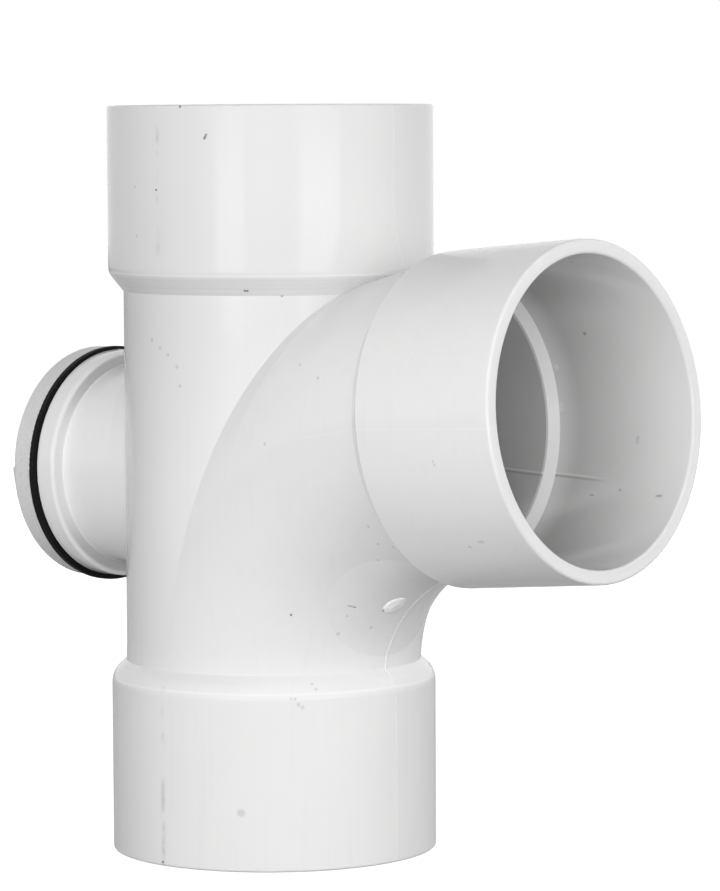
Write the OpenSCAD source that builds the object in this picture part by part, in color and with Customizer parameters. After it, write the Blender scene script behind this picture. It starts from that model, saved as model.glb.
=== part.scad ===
// Swept drainage junction with three plain sockets and a screwed inspection cap.
// The main axis is Z and the bottom socket's mouth is at z = 0. The branch leaves towards +X
// and the inspection boss towards -X. Lengths are in millimetres.

/* [Sockets] */
// Outside diameter of the pipe that every socket takes
pipe_d = 110; // [106:0.5:114]
// Gap around the pipe in a socket, filled by the cement
pipe_gap = 0.2; // [0.1:0.05:0.4]
// Depth of a socket, from its mouth to the pipe stop
socket_depth = 61; // [52:0.5:61.5]
// Wall of a socket
socket_wall = 5.2; // [4.6:0.1:6]
// Height of the pipe stop at the foot of a socket
stop_step = 3.8; // [3:0.1:4.2]
// Length over which the pipe stop slopes in
stop_slope = 3; // [1.5:0.5:4]
// Rounding of a socket's rim, inside and outside
rim_r = 1; // [0.5:0.1:1.6]

/* [Main run] */
// Height from the bottom mouth to the top mouth
height = 276.4; // [272:0.2:284]
// Wall of the run, of the bend and of the branch behind its socket
run_wall = 3.4; // [3:0.1:4]
// Length of the bottom socket's outside, up to its shoulder
bottom_socket_l = 66.1; // [63:0.1:69]
// Length of the bottom shoulder, down to the run's own diameter
bottom_shoulder_l = 4.9; // [4:0.1:7]
// Rounding of the bottom shoulder's outer corner
bottom_shoulder_r = 8; // [3:0.5:9]
// Length of the top socket's outside, down to its shoulder
top_socket_l = 61.4; // [60:0.2:66]
// Length of the top shoulder, up to the run's own diameter
top_shoulder_l = 7.1; // [4:0.1:8]
// Rounding of the top shoulder's outer corner
top_shoulder_r = 5; // [3:0.5:9]

/* [Branch] */
// Rise of the branch above level
branch_rise = 5; // [1:0.5:8]
// Bend radius of the branch, at its centre line
bend_r = 95; // [90:0.5:100]
// Height at which the bend leaves the main axis
bend_z = 68.4; // [66:0.2:72]
// How far the bend's skin stands out past the run's radius
bend_over = 0.2; // [0.1:0.05:0.4]
// Set-back of the bend's bore from that of the run
bend_set = 0.3; // [0.2:0.05:0.6]
// Distance from the main axis to the centre of the branch's mouth
branch_reach = 153.3; // [152:0.1:160]
// Length of the branch socket's outside
branch_socket_l = 60; // [57:0.2:60.4]
// Rounding of the branch socket's back corner
back_r = 0.8; // [0.4:0.1:1.4]
// Length of the hollow flare behind the branch socket
flare_l = 7; // [6:0.1:8]
// Depth at which the flare starts under the bend's skin
flare_sink = 0.1; // [0.05:0.05:0.3]
// Turn of the bend's skin past the branch's slope, inside the flare
bend_past = 3.6; // [3:0.1:4.4]

/* [Throat pad] */
// Radius of the thickened patch in the bend's throat, across the bend
pad_r = 47.45; // [46:0.05:49]
// Bend radius of the patch, at its own centre line
pad_bend_r = 96.8; // [96:0.1:97.4]
// Distance of the patch's bend centre beyond that of the branch
pad_x = 7.2; // [6.8:0.1:7.6]
// Distance of the patch's bend centre below that of the branch
pad_z = 9.2; // [8.8:0.1:9.6]

/* [Inspection boss] */
// Height of the boss's axis
boss_z = 140; // [130:0.2:150]
// Outside diameter of the boss's neck
neck_d = 75.8; // [72:0.2:80]
// Wall of the boss's neck
neck_wall = 3.6; // [3:0.1:4]
// Distance from the main axis to the boss's sealing face
boss_reach = 81; // [76:0.5:90]
// Outside diameter of the boss's collar
collar_d = 86.8; // [84:0.2:88]
// Length of the collar
collar_l = 8.5; // [7:0.1:12]
// Rounding of the collar's rear edge
collar_r = 1.4; // [0.5:0.1:2]

/* [Cap and seal] */
// Outside diameter of the seal ring
seal_d = 90; // [88:0.2:92]
// Thickness of the seal ring
seal_t = 2.7; // [2:0.1:4]
// How far the loose ring hangs below the boss's axis
seal_sag = 0.4; // [0.1:0.1:0.6]
// Play between two pieces that touch when the cap is tight
seat_gap = 0.05; // [0.02:0.01:0.1]
// Outside diameter of the cap
cap_d = 88.4; // [86:0.2:92]
// Thickness of the cap's rim
cap_t = 9; // [7:0.1:12]
// Thickness of the cap's face inside the plug
cap_face_t = 4; // [3:0.1:5]
// Rounding of the cap's outer edge
cap_edge_r = 1.2; // [0.5:0.1:2]
// Diameter at the root of the boss's thread
thread_d = 73.2; // [72:0.1:74]
// Height of a thread ridge
thread_h = 1.2; // [0.8:0.1:1.3]
// Gap between a ridge and the root that it runs in
thread_gap = 0.3; // [0.2:0.05:0.4]
// Length of the thread in the boss
thread_l = 8.5; // [7:0.1:10]
// Wall of the cap's plug
plug_wall = 3.4; // [2.5:0.1:4]
// Thread bore that is left free past the plug's end
plug_room = 0.5; // [0.3:0.1:1.5]

/* [Grip] */
// Length of the bar across the cap's face
grip_l = 73.4; // [50:0.2:76]
// Width of the bar
grip_w = 13; // [8:0.5:16]
// Height of the bar above the cap's face
grip_h = 8; // [5:0.5:12]
// Turn of the bar when the cap is tight, from level
grip_turn = -11; // [-45:1:45]
// Rounding of the bar's corners, seen from outside
grip_r = 1.2; // [0.5:0.1:3]
// Rounding of the bar's top edges
grip_top_r = 1; // [0.5:0.1:3]

/* [Hidden] */
$fn = 56;
// Overlap of solids that are joined, and overshoot of cuts
eps = 1;
// Length of the bend's bore that runs past the pipe stop
stop_pass = 1.5;
socket_r = pipe_d / 2 + pipe_gap;
socket_or = socket_r + socket_wall;
bore_r = socket_r - stop_step;
run_or = bore_r + run_wall;
bend_bore_r = bore_r - bend_set;
bend_or = run_or + bend_over;
// The bend turns from upright to the branch's slope
bend_angle = 90 - branch_rise;
bend_end_x = bend_r * (1 - cos(bend_angle));
branch_l = (branch_reach - bend_end_x) / cos(branch_rise);
// Turn of the bend's bore past its end, through the pipe stop and into the branch socket
bore_past = (branch_l - socket_depth + stop_pass) / bend_r * 180 / PI;
thread_r = thread_d / 2;
neck_bore_r = neck_d / 2 - neck_wall;
plug_r = thread_r - thread_h - thread_gap;
plug_l = seal_t + 2 * seat_gap + thread_l - plug_room;
cap_x = boss_reach + seal_t + 2 * seat_gap;

// Region between a corner and the arc of radius r that rounds it.
// p is the corner, a and b are the unit directions of its two sides.
module corner(p, a, b, r) {
    half = acos(a * b) / 2;
    mid = (a + b) / norm(a + b);
    difference() {
        polygon([p, p + a * r / tan(half), p + b * r / tan(half)]);
        translate(p + mid * r / sin(half)) circle(r, $fn = 16);
    }
}

// Unit direction from one point to another
function towards(p, q) = (q - p) / norm(q - p);

LEFT = [-1, 0];
RIGHT = [1, 0];
UP = [0, 1];
DOWN = [0, -1];

// Half section of the run's skin: two sockets, their shoulders and the pipe between them
module run_skin() {
    b1 = [socket_or, bottom_socket_l];
    b2 = [run_or, bottom_socket_l + bottom_shoulder_l];
    t1 = [socket_or, height - top_socket_l];
    t2 = [run_or, height - top_socket_l - top_shoulder_l];
    rotate_extrude() difference() {
        polygon([[0, 0], [socket_or, 0], b1, b2, t2, t1, [socket_or, height], [0, height]]);
        corner([socket_or, 0], LEFT, UP, rim_r);
        corner([socket_or, height], LEFT, DOWN, rim_r);
        corner(b1, DOWN, towards(b1, b2), bottom_shoulder_r);
        corner(t1, UP, towards(t1, t2), top_shoulder_r);
    }
}

// Half section of one socket's room, with its mouth at 0. The pipe stop's slope at its foot
// runs on to the axis, inside the passage that opens it.
module socket_room() {
    tip = socket_depth + stop_slope * socket_r / stop_step;
    polygon([[0, -eps], [socket_r, -eps], [socket_r, socket_depth], [0, tip]]);
    corner([socket_r, 0], RIGHT, UP, rim_r);
}

// The passage through the run, from mouth to mouth
module run_bore() {
    rotate_extrude() {
        socket_room();
        translate([0, height]) mirror([0, 1]) socket_room();
        translate([0, socket_depth - eps]) square([bore_r, height - 2 * (socket_depth - eps)]);
    }
}

// A round bar of radius r that turns from upright to the branch's slope, and by the angle past
// beyond it. c is the centre that it turns around, in x and z, and centre_line its bend radius.
module bend(r, past = 0, centre_line = bend_r, c = [bend_r, bend_z]) {
    translate([c[0], 0, c[1]])
        rotate([90, 0, 0])
            rotate([0, 0, branch_rise + 90 - past])
                rotate_extrude(angle = bend_angle + past) translate([centre_line, 0]) circle(r);
}

// The patch that stands out of the bend's skin in its throat
module throat_pad() {
    bend(pad_r, 0, pad_bend_r, [bend_r + pad_x, bend_z - pad_z]);
}

// Puts a child that points along +Z, with its base at 0, on the branch's axis: the base goes
// to the mouth's centre, the child points back towards the run and its +X side faces up
module at_branch_mouth() {
    translate([bend_end_x, 0, bend_z + bend_r * sin(bend_angle)])
        rotate([0, bend_angle, 0])
            translate([0, 0, branch_l])
                rotate([0, 180, 0]) children();
}

// The branch's socket with its rounded back corner, and the hollow flare from there down to
// the bend's skin. The flare's arc starts along the branch, in the corner named root.
module branch_skin() {
    back = [socket_or, branch_socket_l];
    root = [bend_or - flare_sink, branch_socket_l + flare_l];
    rise = socket_or - back_r - root[0];
    flare_r = (flare_l * flare_l + rise * rise) / (2 * rise);
    at_branch_mouth() rotate_extrude() {
        difference() {
            square([socket_or, branch_socket_l]);
            corner([socket_or, 0], LEFT, UP, rim_r);
            corner(back, LEFT, DOWN, back_r);
        }
        difference() {
            translate([0, branch_socket_l - eps]) square([root[0] + rise, flare_l + eps]);
            translate(root + [flare_r, 0]) circle(flare_r, $fn = 32);
        }
    }
}

// The room of the branch's socket, which the bend's bore opens
module branch_bore() {
    at_branch_mouth() rotate_extrude() socket_room();
}

// Puts a child that points along +Z, with its base at 0, on the boss's axis, pointing to -X
module at_boss() {
    translate([0, 0, boss_z]) rotate([0, -90, 0]) children();
}

// Neck and collar of the inspection boss, from the main axis outwards
module boss_skin() {
    foot = [neck_d / 2, boss_reach - collar_l];
    at_boss() rotate_extrude() {
        square([neck_d / 2, boss_reach - eps]);
        difference() {
            translate([0, boss_reach - collar_l]) square([collar_d / 2, collar_l]);
            corner([collar_d / 2, boss_reach], LEFT, DOWN, rim_r / 2);
            corner([collar_d / 2, boss_reach - collar_l], LEFT, UP, collar_r);
        }
        corner(foot, RIGHT, DOWN, rim_r / 2);
    }
}

// Passage of the boss, with the wider stretch that holds the thread
module boss_bore() {
    at_boss() rotate_extrude() {
        square([neck_bore_r, boss_reach]);
        translate([0, boss_reach - thread_l]) square([thread_r, thread_l + eps]);
    }
}

// The moulding: run, swept branch and inspection boss in one piece
module junction_body() {
    color("whitesmoke") difference() {
        union() {
            run_skin();
            bend(bend_or, bend_past);
            throat_pad();
            branch_skin();
            boss_skin();
        }
        run_bore();
        bend(bend_bore_r, bore_past);
        branch_bore();
        boss_bore();
    }
}

// Flat rubber ring between the collar and the cap, hanging on the crests of the plug's thread
module seal_ring() {
    inner = plug_r + thread_h + seal_sag + seat_gap;
    color("black") translate([0, 0, -seal_sag]) at_boss() translate([0, 0, boss_reach + seat_gap])
        rotate_extrude() difference() {
            translate([inner, 0]) square([seal_d / 2 - inner, seal_t]);
            corner([seal_d / 2, 0], LEFT, UP, rim_r / 2);
            corner([seal_d / 2, seal_t], LEFT, DOWN, rim_r / 2);
        }
}

// Screw cap: a disc with a hollow plug behind it and a grip bar across its face
module inspection_cap() {
    outer = cap_x + cap_t;
    color("gainsboro") difference() {
        union() {
            at_boss() rotate_extrude() difference() {
                translate([0, cap_x]) square([cap_d / 2, cap_t]);
                corner([cap_d / 2, outer], LEFT, DOWN, cap_edge_r);
                corner([cap_d / 2, cap_x], LEFT, UP, rim_r / 2);
            }
            at_boss() translate([0, 0, cap_x - plug_l]) cylinder(r = plug_r, h = plug_l + eps);
            grip_bar(outer);
        }
        at_boss() translate([0, 0, cap_x - plug_l - eps])
            cylinder(r = plug_r - plug_wall, h = plug_l + cap_t - cap_face_t + eps);
    }
}

// Rectangle w wide and h high that stands on the line y = 0, with its top corners rounded
module arched(w, h) {
    difference() {
        translate([-w / 2, 0]) square([w, h]);
        corner([w / 2, h], LEFT, DOWN, grip_top_r);
        corner([-w / 2, h], RIGHT, DOWN, grip_top_r);
    }
}

// The bar across the cap's face, which stands on the face at distance outer: its plan, cut to
// its outlines from the side and from the end
module grip_bar(outer) {
    reach = grip_h + eps;
    at_boss() translate([0, 0, outer - eps]) rotate([0, 0, 90 + grip_turn]) intersection() {
        linear_extrude(reach + eps) difference() {
            square([grip_l, grip_w], center = true);
            for (x = [-1, 1], y = [-1, 1])
                corner([x * grip_l / 2, y * grip_w / 2], [-x, 0], [0, -y], grip_r);
        }
        rotate([90, 0, 0]) linear_extrude(grip_w + 2 * eps, center = true) arched(grip_l, reach);
        rotate([90, 0, 90]) linear_extrude(grip_l + 2 * eps, center = true) arched(grip_w, reach);
    }
}

junction_body();
seal_ring();
inspection_cap();
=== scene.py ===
import math

import bmesh
import bpy
from mathutils import Matrix, Vector, noise
from mathutils.bvhtree import BVHTree


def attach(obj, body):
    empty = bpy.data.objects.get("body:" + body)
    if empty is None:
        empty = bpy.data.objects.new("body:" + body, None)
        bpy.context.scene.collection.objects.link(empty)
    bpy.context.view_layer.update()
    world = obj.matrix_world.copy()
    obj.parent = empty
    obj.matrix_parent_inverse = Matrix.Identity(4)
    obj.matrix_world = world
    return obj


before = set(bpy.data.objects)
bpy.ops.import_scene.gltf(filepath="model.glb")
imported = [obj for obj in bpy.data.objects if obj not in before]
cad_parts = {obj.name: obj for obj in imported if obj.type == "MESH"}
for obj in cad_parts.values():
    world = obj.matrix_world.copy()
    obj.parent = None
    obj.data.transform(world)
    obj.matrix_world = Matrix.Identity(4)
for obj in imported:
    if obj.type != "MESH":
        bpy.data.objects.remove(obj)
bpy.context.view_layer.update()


# ---- Junction body
# One injection moulding in white PVC-U: the run with its two sockets, the swept branch and the
# inspection boss. It left a two-part mould with a core in each passage, so its skin is smooth and
# has a soft sheen, with the small dark specks and scuffs of a fitting from a bin.

def put(tree, kind, ins=None, **settings):
    """Adds a node to a tree. ins maps its sockets to values or to other nodes' outputs."""
    made = tree.nodes.new(kind)
    for name, value in settings.items():
        setattr(made, name, value)
    for socket, value in (ins or {}).items():
        if isinstance(value, bpy.types.NodeSocket):
            tree.links.new(value, made.inputs[socket])
        else:
            made.inputs[socket].default_value = value
    return made


def sums(tree, operation, *values, clamp=False):
    """The output of a Math node."""
    return put(tree, "ShaderNodeMath", dict(enumerate(values)), operation=operation,
               use_clamp=clamp).outputs[0]


def group(name, ins, outs):
    """A new shader node group with float or vector sockets, and its two end nodes."""
    tree = bpy.data.node_groups.new(name, "ShaderNodeTree")
    for way, sockets in (("INPUT", ins), ("OUTPUT", outs)):
        for label, start in sockets.items():
            vector = start is None or isinstance(start, tuple)
            kind = "NodeSocketVector" if vector else "NodeSocketFloat"
            made = tree.interface.new_socket(label, in_out=way, socket_type=kind)
            if start is not None and way == "INPUT":
                made.default_value = start
    return tree, tree.nodes.new("NodeGroupInput").outputs, tree.nodes.new("NodeGroupOutput").inputs


def use(tree, which, ins):
    """Places a node group in a material and gives its outputs."""
    return put(tree, "ShaderNodeGroup", ins, node_tree=which).outputs


def moulded_skin():
    """Mould texture: a fine grain, the slow waviness of a cooled wall, and uneven tone."""
    tree, i, o = group("moulded skin",
                       {"Place": None, "Grain size": 0.0004, "Grain depth": 0.000004,
                        "Wave size": 0.03, "Wave depth": 0.00003},
                       {"Height": 0.0, "Tone": 0.0, "Matt": 0.0})
    fine = sums(tree, "DIVIDE", 1.0, i["Grain size"])
    slow = sums(tree, "DIVIDE", 1.0, i["Wave size"])
    grain = put(tree, "ShaderNodeTexNoise", {"Vector": i["Place"], "Scale": fine, "Detail": 2.0,
                                             "Roughness": 0.55})
    wave = put(tree, "ShaderNodeTexNoise", {"Vector": i["Place"], "Scale": slow, "Detail": 3.0,
                                            "Roughness": 0.45})
    cloud = put(tree, "ShaderNodeTexNoise", {"Vector": i["Place"], "Scale": 34.0, "Detail": 4.0,
                                             "Roughness": 0.6})
    grain_up = sums(tree, "MULTIPLY", grain.outputs[0], i["Grain depth"])
    wave_up = sums(tree, "MULTIPLY", wave.outputs[0], i["Wave depth"])
    tree.links.new(sums(tree, "ADD", grain_up, wave_up), o["Height"])
    tree.links.new(cloud.outputs[0], o["Tone"])
    tree.links.new(sums(tree, "MULTIPLY_ADD", grain.outputs[0], 0.5,
                        sums(tree, "MULTIPLY", cloud.outputs[0], 0.5)), o["Matt"])
    return tree


def spot():
    """Adds one mark to a list: how far the surface is from the nearest of them, in its reach."""
    tree, i, o = group("spot", {"Place": None, "Centre": (0, 0, 0), "Reach": 0.001, "Others": 9.0},
                       {"Away": 0.0})
    far = put(tree, "ShaderNodeVectorMath", {0: i["Place"], 1: i["Centre"]}, operation="DISTANCE")
    own = sums(tree, "DIVIDE", far.outputs["Value"], i["Reach"])
    tree.links.new(sums(tree, "MINIMUM", own, i["Others"]), o["Away"])
    return tree


def line():
    """Mask of a thin line: 1 where the distance to it is nothing, 0 from the half width on."""
    tree, i, o = group("line", {"Away": 0.0, "Half width": 0.0002}, {"Mask": 0.0})
    near = sums(tree, "DIVIDE", sums(tree, "ABSOLUTE", i["Away"]), i["Half width"])
    tree.links.new(sums(tree, "SUBTRACT", 1.0, near, clamp=True), o["Mask"])
    return tree


SKIN, SPOT, LINE = moulded_skin(), spot(), line()


def line_at(tree, away, half_width):
    """The mask of a thin line that runs where away is nothing."""
    return use(tree, LINE, {"Away": away, "Half width": half_width})["Mask"]


def most(tree, values):
    """The largest of several masks."""
    found = values[0]
    for value in values[1:]:
        found = sums(tree, "MAXIMUM", found, value)
    return found


def all_of(tree, *values):
    """Several masks multiplied."""
    found = values[0]
    for value in values[1:]:
        found = sums(tree, "MULTIPLY", found, value)
    return found


def mixed(tree, amount, one, other):
    """Mixes two colours by a mask."""
    return put(tree, "ShaderNodeMix", {0: amount, 6: one, 7: other}, data_type="RGBA").outputs[2]


def grey(value, warm=0.0):
    """A near-neutral colour."""
    return (value, value * (1 - 0.3 * warm), value * (1 - warm), 1)


def ramp(tree, value, low, high):
    """A smooth step from 0 at low to 1 at high."""
    return put(tree, "ShaderNodeMapRange", {"Value": value, "From Min": low, "From Max": high},
               interpolation_type="SMOOTHSTEP").outputs[0]


def distance(tree, one, other):
    """Length of a flat vector."""
    return sums(tree, "SQRT", sums(tree, "MULTIPLY_ADD", one, one,
                                   sums(tree, "MULTIPLY", other, other)))


def scaled(tree, place, by):
    """A place multiplied along x, y and z."""
    return put(tree, "ShaderNodeVectorMath", {0: place, 1: by}, operation="MULTIPLY").outputs[0]


def clouds(tree, place, scale, detail):
    """Noise from 0 to 1. scale is how many of its blots fit in a metre."""
    return put(tree, "ShaderNodeTexNoise", {"Vector": place, "Scale": scale,
                                            "Detail": detail}).outputs[0]


def new_material(name):
    """An empty material with a Principled shader, its tree and the surface's own place."""
    made = bpy.data.materials.new(name)
    made.use_nodes = True
    tree = made.node_tree
    shader = tree.nodes["Principled BSDF"]
    place = tree.nodes.new("ShaderNodeTexCoord").outputs["Object"]
    return made, tree, shader, place


def dress(tree, shader, skin, colour, roughness):
    """Feeds a shader with its colour, its roughness and the skin's own relief."""
    tree.links.new(colour, shader.inputs["Base Color"])
    tree.links.new(roughness, shader.inputs["Roughness"])
    relief = put(tree, "ShaderNodeBump", {"Strength": 1.0, "Distance": 1.0,
                                          "Height": skin["Height"]})
    tree.links.new(relief.outputs[0], shader.inputs["Normal"])


def cover(node, material):
    """Gives a CAD node its material."""
    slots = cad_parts[node].data.materials
    slots.clear()
    slots.append(material)


# The passages, in metres. The bend turns about (BEND_R, BEND_Z) and its middle line ends at
# (BEND_END_X, BEND_END_Z). From there the branch goes on at 5 degrees above level.
RUN_MIDDLE, BEND_R, BEND_Z = 0.1382, 0.095, 0.0684
BEND_END_X, BEND_END_Z, COS_RISE, SIN_RISE = 0.08672, 0.16304, 0.9962, 0.0872
BOSS_Z = 0.14
# Radii inside the run's wall, inside a socket's wall, and of the pipe stop's inner and outer edge
IN_RUN, IN_SOCKET, STOP_INNER, STOP_OUTER = 0.0532, 0.0575, 0.0517, 0.0553
# From the run's middle to the ends of its bore and to its sockets, and from the bend's end to the
# branch's socket and to the start of the stop's slope
BORE_HALF, RUN_STOP, BRANCH_STOP, SLOPE_START = 0.0744, 0.0772, 0.00583, 0.002

# The body's greys, each as bright as that place is. The passages', the upper run's and the collar's
# greys are painted shade, the bright line's and the stop's greys are painted highlight and painted
# light, and the scuff grey is also the painted shade under the bend's seam.
WARM = 0.004
SKIN_LOW, SKIN_HIGH, PASSAGE_PAINTED_SHADE, UPPER_RUN_PAINTED_SHADE = (grey(v, WARM) for v in (0.80, 0.84, 0.60, 0.71))
DRAWN, TURNED, PAINTED_HIGHLIGHT, STOP_PAINTED_LIGHT = grey(0.62), grey(0.40), grey(0.93), grey(0.97)
STREAK, SCUFF_AND_SEAM_SHADE, DIRT, COLLAR_SHADE = grey(0.35), grey(0.30), grey(0.035), grey(0.36)

white_upvc, tree, shader, place = new_material("white_upvc")
skin = use(tree, SKIN, {"Place": place, "Grain size": 0.0009, "Grain depth": 0.0000016,
                        "Wave size": 0.035, "Wave depth": 0.0001})
x, y, z = put(tree, "ShaderNodeSeparateXYZ", {0: place}).outputs
colour = mixed(tree, skin["Tone"], SKIN_LOW, SKIN_HIGH)

# The walls of the passages: the run's bore and sockets, the bend's bore, and the branch's socket.
# A far is the distance from a middle line, an along the distance down it.
run_far = distance(tree, x, y)
run_along = sums(tree, "ABSOLUTE", sums(tree, "SUBTRACT", z, RUN_MIDDLE))
off_bend = sums(tree, "SUBTRACT", distance(tree, sums(tree, "SUBTRACT", x, BEND_R),
                                           sums(tree, "SUBTRACT", z, BEND_Z)), BEND_R)
bend_far = distance(tree, off_bend, y)
past_x = sums(tree, "SUBTRACT", x, BEND_END_X)
past_z = sums(tree, "SUBTRACT", z, BEND_END_Z)
branch_along = sums(tree, "MULTIPLY_ADD", past_x, COS_RISE,
                    sums(tree, "MULTIPLY", past_z, SIN_RISE))
branch_side = sums(tree, "MULTIPLY_ADD", past_z, COS_RISE,
                   sums(tree, "MULTIPLY", past_x, -SIN_RISE))
branch_far = distance(tree, branch_side, y)
bore = all_of(tree, sums(tree, "LESS_THAN", run_far, IN_RUN),
               sums(tree, "LESS_THAN", run_along, BORE_HALF))
bend = all_of(tree, sums(tree, "LESS_THAN", bend_far, IN_RUN),
               sums(tree, "GREATER_THAN", z, BEND_Z), sums(tree, "LESS_THAN", x, BEND_END_X))
mouth = all_of(tree, sums(tree, "LESS_THAN", branch_far, STOP_INNER),
                sums(tree, "GREATER_THAN", x, BEND_END_X),
                sums(tree, "LESS_THAN", branch_along, BRANCH_STOP))
run_ends = all_of(tree, sums(tree, "LESS_THAN", run_far, IN_SOCKET),
                   sums(tree, "GREATER_THAN", run_along, RUN_STOP))
branch_end = all_of(tree, sums(tree, "LESS_THAN", branch_far, IN_SOCKET),
                     sums(tree, "GREATER_THAN", branch_along, BRANCH_STOP))
deep = most(tree, [bore, bend, mouth])
sockets = most(tree, [run_ends, branch_end])
outside = sums(tree, "SUBTRACT", 1.0, most(tree, [deep, sockets]))

# The bores are painted a shade darker than the skin outside, and the sockets' walls fade from that
# to the plain skin from the pipe stop out to the mouth: painted shade in the passages. The stop's
# sloped face is painted the palest, as painted light.
past_stop = most(tree, [
    all_of(tree, run_ends, sums(tree, "SUBTRACT", run_along, RUN_STOP)),
    all_of(tree, branch_end, sums(tree, "SUBTRACT", branch_along, BRANCH_STOP))])
fading = sums(tree, "MULTIPLY_ADD", ramp(tree, past_stop, 0.008, 0.058), -0.95, 1.0)
shade = most(tree, [deep, all_of(tree, sockets, ramp(tree, past_stop, 0.0, 0.011), fading)])
# Painted light: the pipe stop's sloped face, painted nearly white
stop = all_of(tree, sums(tree, "LESS_THAN", branch_far, STOP_OUTER),
               sums(tree, "GREATER_THAN", branch_far, STOP_INNER),
               sums(tree, "GREATER_THAN", branch_along, SLOPE_START),
               sums(tree, "LESS_THAN", branch_along, BRANCH_STOP + 0.00007))
on_run = all_of(tree, outside, sums(tree, "LESS_THAN", run_far, 0.0612))
# Painted shade in the passages and deep in the sockets
colour = mixed(tree, shade, colour, PASSAGE_PAINTED_SHADE)
# Painted shade: the outside of the run is darker towards the top
colour = mixed(tree, all_of(tree, on_run, ramp(tree, z, 0.13, 0.23), 0.8), colour, UPPER_RUN_PAINTED_SHADE)

# Rings where the mould's inserts met at the shoulders, painted as light lines: painted highlights.
# Height, half width and strength. The top shoulder also has fine rings from the lathe that turned
# its insert.
RING_HIGHLIGHTS = [(0.0646, 0.0006, 1.0), (0.0708, 0.0005, 0.4), (0.2151, 0.0006, 1.0)]
SHOULDER_LOW, SHOULDER_HIGH = 0.2074, 0.2148
ring_highlights = all_of(tree, on_run, most(tree, [
    sums(tree, "MULTIPLY", line_at(tree, sums(tree, "SUBTRACT", z, height), half), strength)
    for height, half, strength in RING_HIGHLIGHTS]))
lathe = clouds(tree, scaled(tree, place, (5.0, 5.0, 1300.0)), 1.0, 2.0)
turned = all_of(tree, on_run, ramp(tree, z, SHOULDER_LOW, SHOULDER_LOW + 0.001),
                 sums(tree, "LESS_THAN", z, SHOULDER_HIGH), ramp(tree, lathe, 0.4, 0.7))

# The weld line on the branch's near side, which sinks along the bend and rises along the socket. It
# is painted as a light line: a painted highlight.
WELD_TURN_X, WELD_TURN_Z, WELD_SINK, WELD_RISE = 0.0896, 0.1633, -0.17, 0.048
bent = sums(tree, "MAXIMUM", sums(tree, "SUBTRACT", WELD_TURN_X, x), 0.0)
straight = sums(tree, "MAXIMUM", sums(tree, "SUBTRACT", x, WELD_TURN_X), 0.0)
weld_z = sums(tree, "MULTIPLY_ADD", bent, WELD_SINK,
              sums(tree, "MULTIPLY_ADD", straight, WELD_RISE, WELD_TURN_Z))
weld_highlight = all_of(tree, outside, ramp(tree, x, 0.056, 0.064), sums(tree, "LESS_THAN", y, 0.0),
               line_at(tree, sums(tree, "SUBTRACT", z, weld_z), 0.0005))

# The seam where two cores met inside the bend, on its far wall: a step, painted as a light line
# over a dark one, a painted highlight over painted shade
SEAM_Z, SEAM_SLOPE = 0.14406, -0.035
seam_up = sums(tree, "SUBTRACT", z, sums(tree, "MULTIPLY_ADD", x, SEAM_SLOPE, SEAM_Z))
seam_at = all_of(tree, most(tree, [deep, sockets]), sums(tree, "GREATER_THAN", y, 0.0),
                  sums(tree, "GREATER_THAN", x, 0.055),
                  sums(tree, "SUBTRACT", 1.0, ramp(tree, x, 0.106, 0.124)))
seam_highlight = all_of(tree, seam_at, line_at(tree, sums(tree, "SUBTRACT", seam_up, 0.0005), 0.0005))
seam_shade = all_of(tree, seam_at, line_at(tree, sums(tree, "ADD", seam_up, 0.0004), 0.0006))

# Fine upright scratches from the draw out of the mould, and one long broken streak down the near
# side of the run's sockets
drawn = clouds(tree, scaled(tree, place, (420.0, 420.0, 14.0)), 1.0, 3.0)
broken = clouds(tree, place, 75.0, 3.0)
streak = all_of(tree, on_run, sums(tree, "LESS_THAN", y, 0.0), ramp(tree, broken, 0.42, 0.62),
                 sums(tree, "GREATER_THAN", run_far, 0.0596), line_at(tree, x, 0.0015))

# Marks: x, y, z and half width in mm. Dark ones are burnt specks in the plastic and pits with dirt
# in them, faint ones lie deeper, flat ones are short dashes, pale grey ones are scuffs, and chips
# are nicks by the branch's pipe stop, painted bright as painted highlights.
DARK = [(20.1, -56.9, 264.2, 0.45), (20.4, -56.8, 264.8, 0.5), (20.7, -56.7, 265.5, 0.45),
        (30.4, -47.3, 209.8, 0.5), (31.0, -46.8, 209.8, 0.5), (44.3, -39.3, 93.4, 0.5),
        (60.8, -23.2, 95.7, 0.4), (64.9, -12.3, 94.0, 0.5), (-0.3, -60.4, 1.5, 0.5),
        (-0.7, -60.4, 245.9, 0.45), (10.6, -59.4, 275.8, 0.5)]
FAINT = [(39.6, -37.8, 207.8, 0.45), (-30.1, -48.2, 69.2, 0.5), (83.6, -36.7, 121.2, 0.4),
         (88.8, -34.6, 120.3, 0.4), (110.1, 47.7, 192.9, 0.7), (127.1, 46.6, 136.9, 0.5),
         (130.0, 15.1, 220.1, 0.6)]
FLAT = [(59.5, -24.9, 96.5, 0.8), (60.1, -24.1, 96.2, 0.9), (60.6, -23.4, 95.8, 0.7),
        (115.0, 45.7, 134.5, 1.0), (146.1, 44.8, 135.9, 1.5)]
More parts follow.
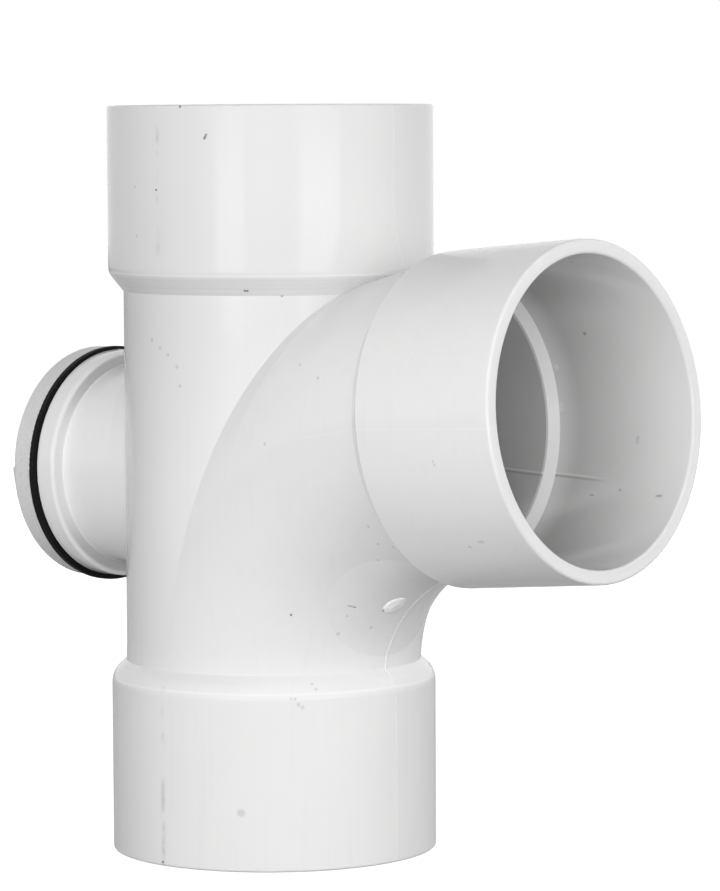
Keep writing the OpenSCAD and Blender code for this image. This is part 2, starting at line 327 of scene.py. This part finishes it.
PALE = [(-12.5, -59.1, 246.9, 0.6), (-11.6, -59.2, 229.2, 0.6), (-9.7, -53.9, 191.3, 0.75),
        (-5.1, -54.5, 188.6, 0.75), (-0.9, -54.8, 186.2, 0.7), (3.5, -54.7, 182.0, 0.75),
        (4.8, -54.6, 175.1, 0.7), (57.3, -48.0, 184.2, 0.65), (68.7, -51.3, 180.1, 0.65),
        (46.4, -54.7, 156.0, 0.65), (59.5, -13.1, 87.5, 0.6), (57.5, -23.8, 92.5, 0.5),
        (53.1, -23.8, 85.7, 0.7), (84.4, -42.9, 128.1, 0.65), (78.2, -30.5, 114.7, 0.65),
        (127.9, -59.2, 154.0, 0.5), (128.4, -59.1, 152.8, 0.6), (136.1, -43.9, 125.7, 0.8),
        (137.2, -43.9, 126.0, 0.8), (130.3, -42.2, 123.5, 0.8), (44.9, -40.2, 63.1, 0.5),
        (45.9, -39.2, 63.1, 0.6), (46.7, -38.3, 60.9, 0.65), (47.8, -37.3, 60.0, 0.7),
        (49.8, -32.3, 66.3, 0.6), (48.2, -32.6, 68.0, 0.55), (30.8, -51.9, 21.7, 1.4),
        (-34.8, -42.3, 111.0, 0.65), (129.6, 53.9, 154.0, 0.8), (129.6, 53.9, 155.4, 0.8)]
CHIP_HIGHLIGHTS = [(93.1, 52.7, 180.0, 1.2), (93.3, 55.1, 164.4, 1.0), (93.3, 55.1, 166.0, 1.0)]
FLAT_TALL = 0.3
rag = sums(tree, "MULTIPLY", sums(tree, "SUBTRACT", clouds(tree, place, 2200.0, 1.0), 0.5), 1.4)


def marks(found, tall=1.0):
    """The mask of a list of marks with frayed edges. tall is their height against their width."""
    at = place if tall == 1.0 else scaled(tree, place, (1.0, 1.0, 1 / tall))
    away = 9.0
    for a, b, c, reach in found:
        away = use(tree, SPOT, {"Place": at, "Centre": (a / 1000, b / 1000, c / 1000 / tall),
                                "Reach": reach / 1000, "Others": away})["Away"]
    inside = sums(tree, "SUBTRACT", 1.25, sums(tree, "ADD", away, rag))
    return sums(tree, "DIVIDE", inside, 0.5, clamp=True)


# Flecks scattered over the far side, one in some of the cells of a Voronoi pattern
cells = put(tree, "ShaderNodeTexVoronoi", {"Vector": place, "Scale": 38.0})
chosen = put(tree, "ShaderNodeSeparateColor", {0: cells.outputs["Color"]}).outputs[0]
from_centre = sums(tree, "MULTIPLY_ADD", rag, 0.006, cells.outputs["Distance"])
fleck = all_of(tree, sums(tree, "GREATER_THAN", y, 0.004), outside,
                sums(tree, "LESS_THAN", from_centre, 0.019),
                sums(tree, "GREATER_THAN", chosen, 0.7))

# The rear face of the boss's collar: a ring of shade above and below, between the neck and the rim
boss_up = sums(tree, "SUBTRACT", z, BOSS_Z)
boss_far = distance(tree, y, boss_up)
collar_back = all_of(tree, ramp(tree, sums(tree, "ABSOLUTE", boss_up), 0.012, 0.036),
                      line_at(tree, sums(tree, "ADD", x, 0.0722), 0.0022),
                      ramp(tree, boss_far, 0.0377, 0.0383),
                      sums(tree, "SUBTRACT", 1.0, ramp(tree, boss_far, 0.0412, 0.0428)))

# Everything that lies over the skin, laid on in turn
dark = most(tree, [sums(tree, "MULTIPLY", marks(DARK), 0.75),
                   sums(tree, "MULTIPLY", marks(FAINT), 0.42),
                   sums(tree, "MULTIPLY", marks(FLAT, FLAT_TALL), 0.42)])
pale = sums(tree, "MULTIPLY", marks(PALE), 0.6)
chip_highlights = sums(tree, "MULTIPLY", marks(CHIP_HIGHLIGHTS), 0.8)
# Painted highlights: the shoulder rings, the weld line, the chips and the seam's upper edge
painted_highlights = most(tree, [sums(tree, "MULTIPLY", ring_highlights, 0.55), sums(tree, "MULTIPLY", weld_highlight, 0.25),
                     chip_highlights, sums(tree, "MULTIPLY", seam_highlight, 0.6)])
# Scuffs, and the painted shade under the seam's step
scuffs_and_seam_shade = most(tree, [pale, sums(tree, "MULTIPLY", seam_shade, 1.3)])
dirty = most(tree, [dark, sums(tree, "MULTIPLY", fleck, 0.6)])
for mask, over in ((all_of(tree, ramp(tree, drawn, 0.5, 0.8), outside, 0.09), DRAWN),
                   (sums(tree, "MULTIPLY", turned, 0.09), TURNED),
                   (painted_highlights, PAINTED_HIGHLIGHT),
                   (stop, STOP_PAINTED_LIGHT),
                   (sums(tree, "MULTIPLY", streak, 0.5), STREAK),
                   (sums(tree, "MULTIPLY", scuffs_and_seam_shade, 0.5), SCUFF_AND_SEAM_SHADE),
                   (dirty, DIRT),
                   (sums(tree, "MULTIPLY", collar_back, 0.75), COLLAR_SHADE)):
    colour = mixed(tree, mask, colour, over)
dress(tree, shader, skin, colour, sums(tree, "MULTIPLY_ADD", skin["Matt"], 0.08,
                                       sums(tree, "MULTIPLY_ADD", pale, 0.2, 0.08)))
shader.inputs["Specular IOR Level"].default_value = 0.5
cover("junction_body", white_upvc)


# ---- Parting line
# The hair-fine fin of plastic where the two halves of the mould met, all round the body on its
# middle plane. It stands up most in the throat of the bend. It is one with the body.

def piece(name, shape, material, body):
    """Makes an object of a finished bmesh, which rides on a body and takes a slot's finish."""
    mesh = bpy.data.meshes.new(name)
    shape.to_mesh(mesh)
    shape.free()
    mesh.materials.append(material)
    made = bpy.data.objects.new(name, mesh)
    bpy.context.scene.collection.objects.link(made)
    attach(made, body)
    return made


def sweep(name, runs, section, material, body):
    """A mesh piece: a closed section of (across, out) points carried along each run. A run is a
    list of frames: a middle point, its two directions, and the size along each of them."""
    shape = bmesh.new()
    for frames in runs:
        rows = [[shape.verts.new(middle + across * (a * wide) + out * (b * high))
                 for a, b in section] for middle, across, out, wide, high in frames]
        for one, two in zip(rows, rows[1:]):
            for k in range(len(section)):
                n = (k + 1) % len(section)
                shape.faces.new((one[k], one[n], two[n], two[k])).smooth = True
        shape.faces.new(rows[0])
        shape.faces.new(list(reversed(rows[-1])))
    bmesh.ops.recalc_face_normals(shape, faces=shape.faces)
    return piece(name, shape, material, body)


body_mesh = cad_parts["junction_body"].data
skin_tree = BVHTree.FromPolygons([v.co for v in body_mesh.vertices],
                                 [tuple(p.vertices) for p in body_mesh.polygons])
ACROSS = Vector((0, 1, 0))
FIN_SECTION = [(-1, -0.5), (-0.55, 0.6), (0, 1), (0.55, 0.6), (1, -0.5)]
# Half width and height of the fin: nearly everywhere, and in the throat
FINE, PROUD = (0.0002, 0.0001), (0.00042, 0.0003)


def facing(normal, way):
    """A surface's normal, turned against the ray that met it."""
    return (normal if normal.dot(way) < 0 else -normal).normalized()


def along_skin(start, end, way, steps):
    """Frames on the body's skin, where rays from a row of points meet it."""
    start, end, way, found = Vector(start), Vector(end), Vector(way), []
    for k in range(steps + 1):
        point, normal, _, _ = skin_tree.ray_cast(start.lerp(end, k / steps), way)
        if point is not None:
            found.append((point, ACROSS, facing(normal, way), *FINE))
    return found


# In the throat the rays come from the bend's own centre, from the run up to the branch
THROAT_FROM, THROAT_TO = 184, 98
throat = []
for degrees in range(THROAT_FROM, THROAT_TO, -1):
    way = Vector((math.cos(math.radians(degrees)), 0, math.sin(math.radians(degrees))))
    point, normal, _, _ = skin_tree.ray_cast(Vector((BEND_R, 0, BEND_Z)), way)
    grown = min(1, (THROAT_FROM - degrees) / 6, (degrees - THROAT_TO) / 12)
    wide, high = (low + (top - low) * grown for low, top in zip(FINE, PROUD))
    throat.append((point, ACROSS, facing(normal, way), wide, high))

# Up the run's front, through the throat and under the branch's socket
front_line = (along_skin((0.2, 0, 0.001), (0.2, 0, 0.0615), (-1, 0, 0), 90) + throat
              + along_skin((0.091, 0, 0.07), (0.1572, 0, 0.07), (0, 0, 1), 76))
# Back over the branch and up the top socket
upper_line = (along_skin((0.1470, 0, 0.3), (0.066, 0, 0.3), (0, 0, -1), 90)
              + along_skin((0.2, 0, 0.232), (0.2, 0, 0.2755), (-1, 0, 0), 60))
# Up the run's back, below and above the boss
back_lines = [along_skin((-0.3, 0, low), (-0.3, 0, high), (1, 0, 0), 120)
              for low, high in ((0.001, 0.0955), (0.1845, 0.2755))]
# Over and under the boss's neck, and the same on its collar
boss_lines = [along_skin((far, 0, height), (near, 0, height), (0, 0, up), steps)
              for far, near, steps in ((-0.0712, -0.0565, 20), (-0.0802, -0.0742, 8))
              for height, up in ((0.205, -1), (0.075, 1))]
sweep("parting_line", [front_line, upper_line, *back_lines, *boss_lines], FIN_SECTION,
      white_upvc, "junction")


# ---- Gate stub
# The torn end of the sprue through which the mould was filled, in the throat of the bend: a low
# oval mound, higher at its torn end, moulded in one with the body. It is whiter than the body for
# the torn plastic, and brighter still as a painted highlight.

GATE_HALF_LONG, GATE_HALF_SHORT, GATE_RISE, GATE_SINK = 0.0047, 0.0040, 0.0011, 0.0001
GATE_SIDES, GATE_RINGS = 40, 12
gate = bmesh.new()
middle, normal, _, _ = skin_tree.find_nearest(Vector((0.0678, -0.0094, 0.0960)))
long_way = Vector((0.753, 0.658, 0)) * 0.85 + Vector((0, 0, 0.5))
long_way = (long_way - normal * long_way.dot(normal)).normalized()
short_way = normal.cross(long_way)
rows = []
for ring_at in range(GATE_RINGS + 1):
    reach, row = 1 - ring_at / GATE_RINGS, []
    mound = max(0.0, 1 - reach ** 2) ** 0.6
    sunk = GATE_SINK if ring_at == 0 else 0
    for k in range(GATE_SIDES if ring_at < GATE_RINGS else 1):
        turn = 2 * math.pi * k / GATE_SIDES
        one, other = reach * math.cos(turn), reach * math.sin(turn)
        torn = noise.noise(Vector((one * 2.1, other * 2.1, 3.0)))
        flat = (middle + long_way * (GATE_HALF_LONG * one * (1 + 0.12 * torn))
                + short_way * (GATE_HALF_SHORT * other))
        point = skin_tree.ray_cast(flat + normal * 0.004, -normal)[0]
        rise = GATE_RISE * mound * (0.75 - 0.35 * one) + 0.0003 * mound * torn
        row.append(gate.verts.new(point + normal * (rise - sunk)))
    rows.append(row)
for k in range(GATE_SIDES):
    n = (k + 1) % GATE_SIDES
    for one, two in zip(rows[:-2], rows[1:-1]):
        gate.faces.new((one[k], one[n], two[n], two[k])).smooth = True
    gate.faces.new((rows[-2][k], rows[-2][n], rows[-1][0])).smooth = True
gate.faces.new(list(reversed(rows[0])))
bmesh.ops.recalc_face_normals(gate, faces=gate.faces)

torn_upvc_and_highlight, tree, shader, place = new_material("torn_upvc_and_highlight")
skin = use(tree, SKIN, {"Place": place, "Grain size": 0.0006, "Grain depth": 0.00008,
                        "Wave size": 0.002, "Wave depth": 0.0002})
dress(tree, shader, skin, mixed(tree, skin["Tone"], grey(0.94), grey(0.99)),
      sums(tree, "MULTIPLY_ADD", skin["Matt"], 0.2, 0.3))
piece("gate_stub", gate, torn_upvc_and_highlight, "junction")


# ---- Boss thread
# The female thread in the boss's collar, moulded on a core that unscrewed: nearly two turns with
# a lead of 3.5 mm, right-handed, one with the body.

THREAD_SECTION = [(-1, -0.08), (-0.5, 0.94), (-0.42, 1), (0.42, 1), (0.5, 0.94), (1, -0.08)]
LEAD, RIDGE_HALF = 0.0035, 0.00095
STEPS_A_TURN, STEPS_TO_FADE = 72, 14


def thread(name, start, first, last, root, crest, material, body):
    """One thread ridge round the boss's axis, from one turn of the screw to another (in turns)."""
    frames, steps = [], int((last - first) * STEPS_A_TURN)
    for k in range(steps + 1):
        turns = first + (last - first) * k / steps
        out = Vector((0, math.cos(2 * math.pi * turns), -math.sin(2 * math.pi * turns)))
        middle = Vector((start - LEAD * turns, 0, BOSS_Z)) + out * root
        grown = min(1, 0.05 + k / STEPS_TO_FADE, 0.05 + (steps - k) / STEPS_TO_FADE)
        frames.append((middle, Vector((-1, 0, 0)), out * (1 if crest > root else -1),
                       RIDGE_HALF * (0.5 + 0.5 * grown), abs(crest - root) * grown))
    return sweep(name, [frames], THREAD_SECTION, material, body)


thread("boss_thread", -0.0735, 0.0, 1.85, 0.0366, 0.0354, white_upvc, "junction")


# ---- Seal ring
# Flat ring of black rubber, cut from sheet and squeezed between the collar and the cap. It hangs
# a little low on the plug, and its cut edge is dull.

black_rubber, tree, shader, place = new_material("black_rubber")
skin = use(tree, SKIN, {"Place": place, "Grain size": 0.0005, "Grain depth": 0.00002,
                        "Wave size": 0.01, "Wave depth": 0.00005})
dust = ramp(tree, clouds(tree, place, 1500.0, 2.0), 0.62, 0.8)
colour = mixed(tree, dust, mixed(tree, skin["Tone"], grey(0.003), grey(0.008)), grey(0.05))
dress(tree, shader, skin, colour, sums(tree, "MULTIPLY_ADD", skin["Matt"], 0.25, 0.5))
shader.inputs["Specular IOR Level"].default_value = 0.12
cover("seal_ring", black_rubber)


# ---- Inspection cap
# Moulded in the same white as the body, but in a sparked mould, so its skin is grainy, dull and a
# little greyer. It screws into the boss, and a bar across its face gives the hand a grip.

CAP_WARM = 0.006
grained_cap, tree, shader, place = new_material("grained_cap")
skin = use(tree, SKIN, {"Place": place, "Grain size": 0.0006, "Grain depth": 0.00006,
                        "Wave size": 0.02, "Wave depth": 0.00004})
sparked = sums(tree, "MULTIPLY", ramp(tree, clouds(tree, place, 1100.0, 2.0), 0.4, 0.7), 0.3)
colour = mixed(tree, skin["Tone"], grey(0.67, CAP_WARM), grey(0.73, CAP_WARM))
colour = mixed(tree, sparked, colour, grey(0.52, CAP_WARM))
dress(tree, shader, skin, colour, sums(tree, "MULTIPLY_ADD", skin["Matt"], 0.2, 0.42))
cover("inspection_cap", grained_cap)


# ---- Cap thread
# The male thread on the cap's plug, moulded in one with the cap. It lies half a pitch from the
# boss's thread, and follows it as the cap unscrews.

thread("cap_thread", -0.07525, -0.24, 1.35, 0.0351, 0.0363, grained_cap, "cap")


# ---- Floor, background and lights
# A pale matt floor under the fitting, a white background, three soft boxes round the branch's
# side, a wide one behind, and two low strips that draw soft bands on the top socket.

LAMP_AIM_Z = 0.14


def soft_box(name, watts, size, azimuth, height, away, mirrored=False):
    """A rectangular lamp that looks at the fitting's middle. Azimuth 0 is in front, at -Y. Only a
    mirrored one shows in the plastic's sheen, and the white room shows there otherwise."""
    lamp = bpy.data.lights.new(name, "AREA")
    lamp.shape = "RECTANGLE"
    lamp.size, lamp.size_y = size
    lamp.energy = watts
    made = bpy.data.objects.new(name, lamp)
    bpy.context.scene.collection.objects.link(made)
    turn = math.radians(azimuth)
    made.location = (away * math.sin(turn), -away * math.cos(turn), height)
    aim = Vector((0, 0, LAMP_AIM_Z)) - made.location
    made.rotation_euler = aim.to_track_quat("-Z", "Y").to_euler()
    made.visible_glossy = mirrored
    made.visible_camera = False
    return made


soft_box("front_box", 20.2, (1.5, 1.0), 20, 0.3, 1.6)
soft_box("right_box", 8.8, (1.5, 1.0), 50, 0.3, 1.6)
soft_box("side_box", 12.6, (1.5, 1.0), 125, 0.4, 1.6)
soft_box("back_box", 25.0, (3.0, 1.6), 221, 0.7, 1.8)
soft_box("left_strip", 0.34, (0.48, 0.14), 14.5, 0.205, 1.45, mirrored=True)
soft_box("right_strip", 0.48, (0.73, 0.14), 76, 0.205, 1.45, mirrored=True)

# The floor lies a hair under the fitting's mouth. It shows nearly white to the camera, and its own
# colour lights the fitting.
FLOOR_HALF, FLOOR_GAP, FLOOR_TONE, FLOOR_SHOWN = 6, 0.0002, 0.3, 0.96
corners = [(a * FLOOR_HALF, b * FLOOR_HALF, 0) for a, b in ((-1, -1), (1, -1), (1, 1), (-1, 1))]
floor_mesh = bpy.data.meshes.new("floor")
floor_mesh.from_pydata(corners, [], [(0, 1, 2, 3)])
floor = bpy.data.objects.new("floor", floor_mesh)
bpy.context.scene.collection.objects.link(floor)
floor.location.z = -FLOOR_GAP
pale_floor = bpy.data.materials.new("pale_floor")
pale_floor.use_nodes = True
tree = pale_floor.node_tree
tree.nodes.clear()
matt = put(tree, "ShaderNodeBsdfDiffuse", {"Color": grey(FLOOR_TONE)})
path = put(tree, "ShaderNodeLightPath").outputs
mirrored = sums(tree, "MAXIMUM", path["Is Glossy Ray"], path["Is Transmission Ray"])
shown = sums(tree, "MULTIPLY_ADD", mirrored, FLOOR_TONE,
             sums(tree, "MULTIPLY", path["Is Camera Ray"], FLOOR_SHOWN))
glow = put(tree, "ShaderNodeEmission", {"Color": grey(1.0), "Strength": shown})
lit = put(tree, "ShaderNodeAddShader", {0: matt.outputs[0], 1: glow.outputs[0]})
put(tree, "ShaderNodeOutputMaterial", {0: lit.outputs[0]})
floor_mesh.materials.append(pale_floor)

# The room gives a weak even light, and shows white to the camera and in the plastic's sheen
ROOM_LIGHT = 0.22
world = bpy.data.worlds.new("studio")
world.use_nodes = True
bpy.context.scene.world = world
tree = world.node_tree
tree.nodes.clear()
room = put(tree, "ShaderNodeBackground", {"Color": grey(1.0), "Strength": ROOM_LIGHT})
paper = put(tree, "ShaderNodeBackground", {"Color": grey(1.0), "Strength": 1.0})
path = put(tree, "ShaderNodeLightPath").outputs
seen = most(tree, [path["Is Camera Ray"], path["Is Glossy Ray"], path["Is Transmission Ray"]])
both = put(tree, "ShaderNodeMixShader", {0: seen, 1: room.outputs[0], 2: paper.outputs[0]})
put(tree, "ShaderNodeOutputWorld", {0: both.outputs[0]})


# ---- Camera
# A long lens a little above the fitting's middle, turned 41 degrees to the branch's side. It stands
# 1.5 m away, so upright lines stay nearly upright.

AZIMUTH, ELEVATION, ROLL = math.radians(41.155), math.radians(4.399), math.radians(-0.3177)
AIM_HEIGHT, AIM_RIGHT, CAMERA_AWAY = 0.14979, 0.032616, 1.5363
towards_camera = Vector((math.sin(AZIMUTH) * math.cos(ELEVATION),
                         -math.cos(AZIMUTH) * math.cos(ELEVATION), math.sin(ELEVATION)))
level_right = Vector((math.cos(AZIMUTH), math.sin(AZIMUTH), 0))
level_up = towards_camera.cross(level_right)
right = level_right * math.cos(ROLL) + level_up * math.sin(ROLL)
up = level_up * math.cos(ROLL) - level_right * math.sin(ROLL)
lens = bpy.data.cameras.new("camera")
lens.sensor_width, lens.lens = 36.0, 166.66
lens.clip_start, lens.clip_end = 0.05, 30.0
camera = bpy.data.objects.new("camera", lens)
bpy.context.scene.collection.objects.link(camera)
turn = Matrix((right, up, towards_camera)).transposed()
aim = Vector((0, 0, AIM_HEIGHT)) + AIM_RIGHT * level_right
camera.matrix_world = Matrix.Translation(aim + CAMERA_AWAY * towards_camera) @ turn.to_4x4()
bpy.context.scene.camera = camera

bpy.context.scene.view_settings.view_transform = "Standard"
